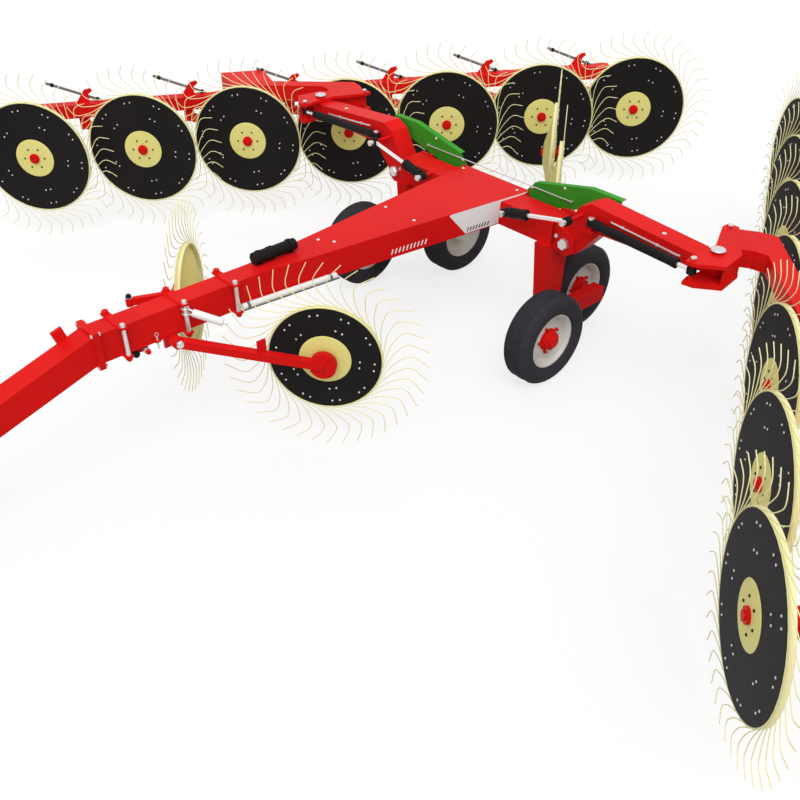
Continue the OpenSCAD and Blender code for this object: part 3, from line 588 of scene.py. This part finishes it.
for x in CLAMP_X:
    clamp_bolts.append(facing(dome, (x, CLAMP_HALF, CLAMP_TOP), UP))
    clamp_nuts.append(bolt(0.021, 0.020, (x, -CLAMP_HALF, CLAMP_TOP), UP))
    for y in (-CLAMP_HALF, CLAMP_HALF):
        clamp_bolts.append(facing(sleeve, (x, y, SLEEVE_FOOT), UP))
        clamp_nuts.append(bolt(0.021, 0.018, (x, y, CLAMP_FOOT), -UP))
piece("clamp_bolts", "frame", zinc, clamp_bolts)
piece("clamp_nuts", "frame", red_enamel, clamp_nuts, smooth=False)
knee_bolts = []
for y, z in KNEE_BOLTS:
    knee_bolts += [bolt(0.012, 0.010, (KNEE_FRONT, y, z), AHEAD),
                   bolt(0.012, 0.012, (KNEE_REAR, y, z), -AHEAD)]
knee_bolts.append(facing(washer, (BRACKET_X, BRACKET_Y, 1.0568), UP))
piece("knee_bolts", "frame", zinc, knee_bolts, smooth=False)
bracket_nut = [bolt(0.017, 0.018, (BRACKET_X, BRACKET_Y, 1.0595), UP)]
piece("bracket_nut", "frame", black_enamel, bracket_nut, smooth=False)

# Black canister on the beam's top: a plastic document tube with a screw lid. It lies in two clips, and
# each clip has a foot on the beam.
CAN_LENGTH = 0.330
can = lathe([(0.0, 0.0), (0.036, 0.0), (0.040, 0.004), (0.040, 0.118), (0.043, 0.120), (0.043, 0.150),
             (0.040, 0.152), (0.038, 0.156), (0.038, CAN_LENGTH - 0.005), (0.034, CAN_LENGTH),
             (0.0, CAN_LENGTH)], 48)
can_place = along((1.250, -0.034, 1.106), (0.920, -0.040, 1.106))
clip_band = lathe([(0.0385, -0.010), (0.0445, -0.010), (0.0445, 0.010), (0.0385, 0.010)], 40)


def block(low, high, edge=0.003):
    """Box between two corners with chamfered upper edges."""
    (x0, y0, z0), (x1, y1, z1) = low, high
    verts, faces = stack([[Vector((x0 + e, y0 + e, z)), Vector((x1 - e, y0 + e, z)),
                           Vector((x1 - e, y1 - e, z)), Vector((x0 + e, y1 - e, z))]
                          for e, z in ((0, z0), (0, z1 - edge), (edge, z1))])
    return verts, faces + [(3, 2, 1, 0)]


feet = [block((x - 0.012, -0.062, 1.0615), (x + 0.012, -0.012, 1.074)) for x in (1.2038, 0.9662)]
bands = [put(clip_band, can_place @ Matrix.Translation((0, 0, CAN_LENGTH * t))) for t in (0.14, 0.86)]
piece("document_tube", "frame", black_enamel, [put(can, can_place), *feet, *bands])

# Hose couplings under the beam: two stubs with collars on a hanging red lug, one with a red dust cap,
# a drop-nose pin in a lug on the beam's left face and the kicker arm's stop plate.
OVER = Matrix.Rotation(math.pi, 4, "X")
LEFT = Vector((0, 1, 0))
ZINC_STUB, DARK_STUB = Vector((2.118, 0.034, 0.848)), Vector((2.186, 0.034, 0.848))
PIN_X, PIN_Y = 2.045, 0.093
stub = lathe([(0.0, 0.0), (0.013, 0.0), (0.013, 0.034), (0.021, 0.036), (0.021, 0.050), (0.014, 0.052),
              (0.013, 0.060), (0.0, 0.060)], 24)
dust_cap = lathe([(0.0165, 0.0), (0.0165, 0.012), (0.012, 0.020), (0.0, 0.023)], 24)
lugs = [put(block((2.085, -0.036, -0.8775), (2.215, -0.022, -0.822)), OVER),
        put(block((1.940, -0.072, -0.8775), (1.995, -0.060, -0.805)), OVER),
        block((2.027, 0.0785, 0.886), (2.063, 0.106, 0.896))]
piece("coupling_lugs", "frame", red_enamel, [*lugs, facing(dust_cap, ZINC_STUB + 0.058 * LEFT, LEFT)],
      smooth=False)
drop_pin = tube([Vector((PIN_X, PIN_Y, z)) for z in (0.838, 0.868, 0.898, 0.928)], 0.0065)
ring_pull = tube([Vector((PIN_X + 0.012 * math.cos(a), PIN_Y, 0.934 + 0.012 * math.sin(a)))
                  for a in (math.pi * i / 8 for i in range(16))], 0.002, 6, True)
piece("coupling_zinc", "frame", zinc, [facing(stub, ZINC_STUB, LEFT), drop_pin, ring_pull])
piece("coupling_dark", "frame", black_enamel, [facing(stub, DARK_STUB, LEFT)])

# Parked kicker strut and stay: a pale spring strut that hangs from the middle clamp's left bolt, and a
# white guide tube with a steel rod under the beam's left edge. Both are bolted to the frame.
FORK_HEIGHTS = (-0.020, 0.016)
STEEL_GREY, STEEL_DEEP = (0.20, 0.20, 0.21, 1), (0.15, 0.15, 0.16, 1)
steel_grey = enamel("steel_grey", STEEL_GREY, STEEL_DEEP, roughness=0.42, shine=0.5)
strut_top, strut_end = Vector((1.840, 0.106, 1.024)), Vector((1.672, 0.296, 0.948))
strut_way = (strut_end - strut_top).normalized()
strut = lathe([(0.0, 0.044), (0.020, 0.044), (0.0245, 0.048), (0.0245, 0.228), (0.022, 0.233),
               (0.010, 0.234), (0.010, 0.258), (0.0, 0.258)], 32)
fork = [tube([strut_top + UP * h + strut_way * 0.018,
              strut_top + UP * h * 0.6 + strut_way * 0.060], 0.0065) for h in FORK_HEIGHTS]
fork_eyes = [eye(strut_top + UP * h, UP, 0.0144, 0.026, 0.006) for h in FORK_HEIGHTS]
white_enamel = enamel("white_enamel", (0.95, 0.95, 0.95, 1), (0.91, 0.91, 0.92, 1), roughness=0.4)
piece("parked_strut", "frame", white_enamel, [put(strut, along(strut_top, strut_end))])
piece("strut_fork", "frame", zinc, [*fork, *fork_eyes])
stay_front, stay_rear = Vector((1.450, 0.1045, 0.899)), Vector((0.750, 0.1655, 0.899))
stay_span = stay_rear - stay_front
stay_length = stay_span.length
stay = lathe([(0.0, 0.0), (0.017, 0.0), (0.0205, 0.004), (0.0205, stay_length - 0.004),
              (0.017, stay_length), (0.0, stay_length)], 32)
piece("stay_tube", "frame", white_enamel, [put(stay, along(stay_front, stay_rear))])
stay_rod = tube([stay_front + stay_span * t - UP * 0.0268 for t in (0.0, 0.25, 0.5, 0.75, 1.03)], 0.0066)
saddles = [eye(stay_front + stay_span * t, stay_span, 0.0206, 0.0235, 0.010) for t in (0.06, 0.93)]
piece("stay_rod", "frame", steel_grey, [stay_rod, *saddles])

# Cover sides and top: a white painted panel at the rear of each side, a row of raised ticks along the
# lower edge, and pan-head bolts on the top sheet. The guards have the same bolts and a thin steel rod
# between them.
FRONT_X, REAR_X, FRONT_HALF, REAR_HALF = 1.270, -0.910, 0.080, 0.335
COVER_TOP, GUARD_FRONT, THIN_ROD_Z = 1.062, -0.9101, 1.108
TICK_RIM = 0.0006
side_way = Vector((REAR_X - FRONT_X, REAR_HALF - FRONT_HALF, 0)).normalized()
side_out = Vector((side_way.y, -side_way.x, 0))


def on_side(x, z, out):
    """Place over the cover's left side sheet at that station and height."""
    share = (FRONT_X - x) / (FRONT_X - REAR_X)
    return Vector((x, FRONT_HALF + share * (REAR_HALF - FRONT_HALF), z)) + side_out * out


def panel(corners, thick, edge=0.0015):
    """Sheet on the cover's side with a rounded rim, from its corners as (station, height)."""
    flat = [Vector((*c, 0)) for c in corners]
    middle = sum(flat, Vector()) / len(flat)
    drawn = [c + (middle - c).normalized() * edge for c in flat]
    return stack([[on_side(c.x, c.y, out) for c in ring]
                  for ring, out in ((flat, -0.001), (flat, thick * 0.6), (drawn, thick))])


def tick_row(first, step, count, low, high, width, lean, thick):
    """Slanted strokes on the cover's side, from the first station to the rear."""
    return [panel([(x, low), (x - width, low), (x - width - lean, high), (x - lean, high)], thick, TICK_RIM)
            for x in (first - step * i for i in range(count))]


side_ticks = tick_row(first=0.300, step=0.031, count=10, low=0.902, high=0.938,
                      width=0.010, lean=0.012, thick=0.002)
panel_ticks = tick_row(first=-0.345, step=0.026, count=8, low=0.896, high=0.926,
                       width=0.009, lean=0.011, thick=0.0035)
white_panel = panel([(-0.190, 1.052), (-0.335, 0.884), (-0.632, 0.884), (-0.645, 1.040), (-0.880, 1.048),
                     (-0.895, 1.058), (-0.215, 1.058)], 0.0018)
for side, hand in HANDS:
    piece(f"cover_panel_{side}", "frame", white_enamel, [white_panel], hand, smooth=False)
    piece(f"cover_ticks_{side}", "frame", white_enamel, side_ticks, hand, smooth=False)
    piece(f"panel_ticks_{side}", "frame", black_enamel, panel_ticks, hand, smooth=False)
pan_head = lathe([(0.012, 0.0), (0.011, 0.003), (0.007, 0.006), (0.0, 0.007)], 20)
cover_bolts = [facing(pan_head, (x, y, COVER_TOP), UP)
               for x, y in ((0.720, -0.055), (0.660, 0.040), (-0.850, 0.270), (-0.850, -0.290),
                            (0.050, 0.150), (0.050, -0.150))]
guard_bolts = [facing(pan_head, (GUARD_FRONT, y, z), AHEAD)
               for y, z in ((0.66, 1.176), (-0.66, 1.176), (0.36, 1.090), (-0.36, 1.090))]
thin_rod = tube([Vector((-0.897, y, THIN_ROD_Z)) for y in (-0.74, -0.37, 0.0, 0.37, 0.74)], 0.004)
eyelet = lathe([(0.003, 0.0), (0.009, 0.0), (0.009, 0.020), (0.003, 0.022)], 16)
eyelets = [facing(eyelet, (-0.910, y, THIN_ROD_Z), AHEAD) for y in (-0.74, 0.74)]
piece("cover_bolts", "frame", zinc, [*cover_bolts, *guard_bolts, thin_rod, *eyelets])

# Bank adjusters: a grey steel hand rod at each wheel arm, with two dark nuts low on it and a dark collar
# near its upper end. The rods lie on the CAD rods of the banks.
PITCH, BANK_TURN = 0.932, math.radians(29.4)
BANK_FRAME = Matrix.Translation((-3.700, 0.840, 0)) @ Matrix.Rotation(BANK_TURN, 4, "Z")
ADJUSTER_Y, ADJUSTER_LOW, ADJUSTER_HIGH, ADJUSTER_RADIUS = 0.446, 1.0135, 1.2275, 0.0120
LOW_SHARE, HIGH_SHARE = 0.25, 0.82
NUT_SHARES, COLLAR_SHARE = (0.20, 0.42), 0.88
collar = lathe([(0.0122, 0.0), (0.017, 0.002), (0.017, 0.026), (0.0122, 0.028)], 20)
rods, nuts = [], []
for k in range(7):
    low_end = Vector(((k + LOW_SHARE) * PITCH, ADJUSTER_Y, ADJUSTER_LOW))
    high_end = Vector(((k + HIGH_SHARE) * PITCH, ADJUSTER_Y, ADJUSTER_HIGH))
    way = high_end - low_end
    rods.append(tube([low_end + way * t for t in (0.0, 0.3, 0.6, 1.0)], ADJUSTER_RADIUS, 12))
    nuts += [bolt(0.021, 0.022, low_end + way * t, way) for t in NUT_SHARES]
    nuts.append(facing(collar, low_end + way * COLLAR_SHARE, way))
for side, hand in HANDS:
    piece(f"adjuster_rods_{side}", f"bank_{side}", steel_grey, rods, hand @ BANK_FRAME)
    piece(f"adjuster_nuts_{side}", f"bank_{side}", black_enamel, nuts, hand @ BANK_FRAME)

# Kicker arms: a ring of bolts on each hub plate, sprayed red with the arm, and a zinc nut on the arm's
# pivot pin. The two pins are at different stations of the beam.
KICKER_PIN_X = {"left": 1.950, "right": 2.160}
KICKER_PIN_Y, KICKER_PIN_Z = 0.180, 0.868
HUB_BOLT_RING, HUB_PLATE_FRONT = 0.062, 0.0945
hub_bolts = bolt_ring(6, HUB_BOLT_RING, HUB_PLATE_FRONT, 0.010, 0.008)
for side, hand in HANDS:
    place = wheel_place(joints[f"kicker_{side}_spin"], side == "right")
    piece(f"kicker_hub_bolts_{side}", f"kicker_arm_{side}", red_enamel, hub_bolts, place,
          smooth=False)
    pivot_nut = [bolt(0.027, 0.016, (KICKER_PIN_X[side], KICKER_PIN_Y, KICKER_PIN_Z), LEFT)]
    piece(f"kicker_pivot_nut_{side}", "frame", zinc, pivot_nut, hand, smooth=False)

# Parking jack: a zinc-plated leg that slides in the red tube, and a crank bent from round bar on the
# cap of the tube, which is turned by hand.
JACK_TOP = Vector((3.560, 0.150, 0.880))
CRANK = ((0, 0, 0.004), (0, 0, 0.035), (0.004, 0, 0.042), (0.012, 0, 0.045), (0.125, 0, 0.045),
         (0.133, 0, 0.048), (0.137, 0, 0.055), (0.137, 0, 0.120))
dress("jack_leg", zinc)
crank = tube([JACK_TOP + Vector(v) for v in CRANK], 0.008, 12)
jack_cap = lathe([(0.041, 0.0), (0.041, 0.003), (0.036, 0.006), (0.0, 0.006)], 32)
piece("jack_crank", "frame", zinc, [crank, facing(jack_cap, JACK_TOP, UP)])
